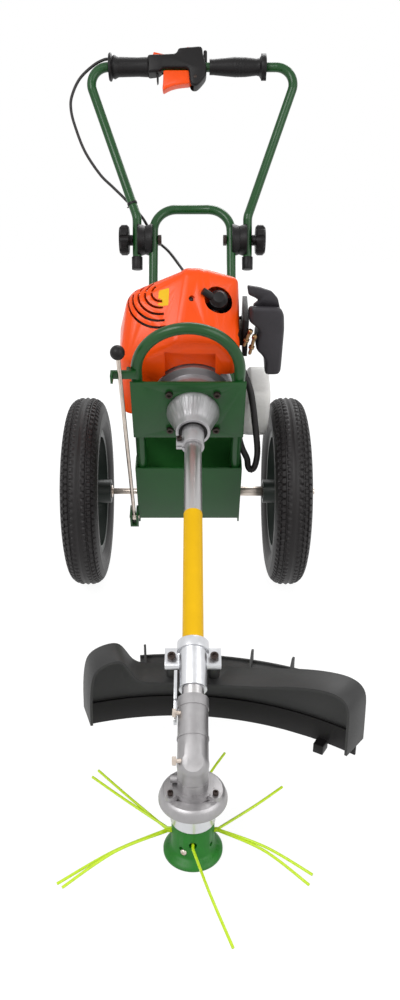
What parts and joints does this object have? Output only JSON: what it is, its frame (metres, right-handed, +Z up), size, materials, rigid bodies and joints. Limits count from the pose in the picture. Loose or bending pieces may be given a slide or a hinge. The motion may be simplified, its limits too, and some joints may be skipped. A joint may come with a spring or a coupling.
{
  "type": "wheeled string trimmer",
  "caption": "Walk-behind petrol string trimmer: engine on a two-wheeled tube frame, slanted drive tube to a string head with guard, folding handlebar with throttle controls.",
  "frame": {"origin": "middle of the string head's flat glide face, on the ground", "axes": "+Z up; +Y from the string head back towards the handle; +X to the right as seen from the string head's front looking along +Y"},
  "size_m": [0.5066, 1.3387, 1.0103],
  "materials": {
    "frame_paint": "glossy dark green enamel",
    "steel": "zinc-plated, satin",
    "dark_steel": "blackened, satin",
    "cast_alloy": "as cast, fine grain",
    "tube_alloy": "drawn, satin",
    "black_plastic": "moulded, fine grain",
    "rubber": "matt",
    "tyre_rubber": "matt, block tread",
    "rim_plastic": "moulded",
    "orange_plastic": "glossy moulded",
    "tank_plastic": "translucent white, satin",
    "filter_plastic": "fine texture",
    "guard_plastic": "fine texture",
    "head_plastic": "moulded, half gloss",
    "nylon_line": "extruded nylon",
    "red_plastic": "moulded",
    "brass": "turned",
    "muffler_steel": "heat-resistant grey",
    "silicone": "clear soft moulding"
  },
  "bodies": {
    "chassis": {"base_box": "frame_paint", "front_hoop": "frame_paint", "engine_plate": "frame_paint", "rear_hoop": "frame_paint", "axle": "steel", "axle_hardware": "steel", "screws": "dark_steel", "clutch_housing": "cast_alloy", "clutch_bush": "rubber", "tube_collar": "cast_alloy", "shaft_tube": "tube_alloy", "guard_clamp": "cast_alloy", "guard_strap": "steel", "guard": "guard_plastic", "guard_skirt": "black_plastic", "gear_case": "cast_alloy", "gear_shield": "cast_alloy", "fan_housing": "cast_alloy", "crankcase": "cast_alloy", "cylinder": "cast_alloy", "engine_cover": "orange_plastic", "muffler": "muffler_steel", "spark_plug_cap": "rubber", "carburettor": "cast_alloy", "filter_base": "black_plastic", "filter_cover": "filter_plastic", "fuel_tank": "tank_plastic", "starter_housing": "black_plastic", "lower_saddles": "black_plastic", "clamp_bolts": "dark_steel", "cable_lower": "rubber", "cable_conduit": "black_plastic"},
    "left_wheel": {"left_tyre": "tyre_rubber", "left_rim": "rim_plastic"},
    "right_wheel": {"right_tyre": "tyre_rubber", "right_rim": "rim_plastic"},
    "cutter": {"arbor": "steel", "head_collar": "cast_alloy", "string_head": "head_plastic", "trimmer_lines": "nylon_line"},
    "drive": {"drive_shaft": "dark_steel"},
    "handle": {"handlebar": "frame_paint", "throttle_grip": "rubber", "control_housing": "black_plastic", "right_grip": "rubber", "end_caps": "black_plastic", "upper_saddles": "black_plastic", "cable_upper": "rubber"},
    "throttle_trigger": {"trigger": "orange_plastic"},
    "throttle_lockout": {"lockout_lever": "orange_plastic"},
    "engine_switch": {"stop_switch": "red_plastic"},
    "left_knob": {"left_star_knob": "black_plastic"},
    "right_knob": {"right_star_knob": "black_plastic"},
    "lever": {"lock_lever": "steel", "lever_ball": "black_plastic"},
    "tank_cap": {"fuel_cap": "black_plastic"},
    "pull_grip": {"starter_grip": "black_plastic"},
    "primer": {"primer_bulb": "silicone"},
    "choke": {"choke_lever": "black_plastic"},
    "carb_arm": {"throttle_arm": "brass"}
  },
  "joints": [
    {"name": "left_wheel_spin", "type": "hinge", "parent": "chassis", "child": "left_wheel", "pos_m": [-0.206, 0.72793, 0.185], "axis": [1, 0, 0], "continuous": true},
    {"name": "right_wheel_spin", "type": "hinge", "parent": "chassis", "child": "right_wheel", "pos_m": [0.182, 0.72793, 0.185], "axis": [1, 0, 0], "continuous": true},
    {"name": "head_spin", "type": "hinge", "parent": "chassis", "child": "cutter", "pos_m": [0, 0, 0.05], "axis": [0, 0, 1], "continuous": true},
    {"name": "drive_spin", "type": "hinge", "parent": "chassis", "child": "drive", "pos_m": [0, 0.34745, 0.29431], "axis": [0, 0.9085, 0.4179], "continuous": true},
    {"name": "handle_fold", "type": "hinge", "parent": "chassis", "child": "handle", "pos_m": [-0.0015, 1.03197, 0.63509], "axis": [1, 0, 0], "range_deg": [-110, 70], "deforming": ["cable_lower"]},
    {"name": "trigger_squeeze", "type": "hinge", "parent": "handle", "child": "throttle_trigger", "pos_m": [-0.0075, 1.13713, 0.94578], "axis": [0, 0.9472, -0.3206], "range_deg": [0, 13], "stiffness_Nm_per_rad": 0.4, "springref_deg": -11.46},
    {"name": "lockout_press", "type": "hinge", "parent": "handle", "child": "throttle_lockout", "pos_m": [-0.0455, 1.15028, 0.98461], "axis": [0, -0.9472, 0.3206], "range_deg": [0, 8], "stiffness_Nm_per_rad": 0.2, "springref_deg": -11.46},
    {"name": "stop_slide", "type": "slide", "parent": "handle", "child": "engine_switch", "axis": [1, 0, 0], "range_m": [0, 0.006]},
    {"name": "left_knob_turn", "type": "hinge", "parent": "chassis", "child": "left_knob", "pos_m": [-0.1415, 1.03197, 0.63509], "axis": [-1, 0, 0], "continuous": true},
    {"name": "right_knob_turn", "type": "hinge", "parent": "chassis", "child": "right_knob", "pos_m": [0.1385, 1.03197, 0.63509], "axis": [1, 0, 0], "continuous": true},
    {"name": "lever_swing", "type": "hinge", "parent": "chassis", "child": "lever", "pos_m": [-0.114, 0.67677, 0.15266], "axis": [1, 0, 0], "range_deg": [0, 35]},
    {"name": "cap_turn", "type": "hinge", "parent": "chassis", "child": "tank_cap", "pos_m": [0.068, 0.75681, 0.37109], "axis": [0, 0.9085, 0.4179], "continuous": true},
    {"name": "starter_pull", "type": "slide", "parent": "chassis", "child": "pull_grip", "axis": [0, -0.4179, 0.9085], "range_m": [0, 0.6], "stiffness_N_per_m": 15, "springref_m": -0.3},
    {"name": "primer_push", "type": "slide", "parent": "chassis", "child": "primer", "axis": [0, -0.4179, 0.9085], "range_m": [0, 0.003], "stiffness_N_per_m": 400, "springref_m": -0.002},
    {"name": "choke_turn", "type": "hinge", "parent": "chassis", "child": "choke", "pos_m": [0.0872, 0.66143, 0.53779], "axis": [0, 0.9085, 0.4179], "range_deg": [0, 60]},
    {"name": "throttle_turn", "type": "hinge", "parent": "chassis", "child": "carb_arm", "pos_m": [0.0712, 0.61433, 0.52053], "axis": [0, 0.9085, 0.4179], "range_deg": [0, 45]}
  ],
  "couplings": [
    {"joint": "drive_spin", "follows": "head_spin", "ratio": 1.3571},
    {"joint": "throttle_turn", "follows": "trigger_squeeze", "ratio": 3}
  ]
}
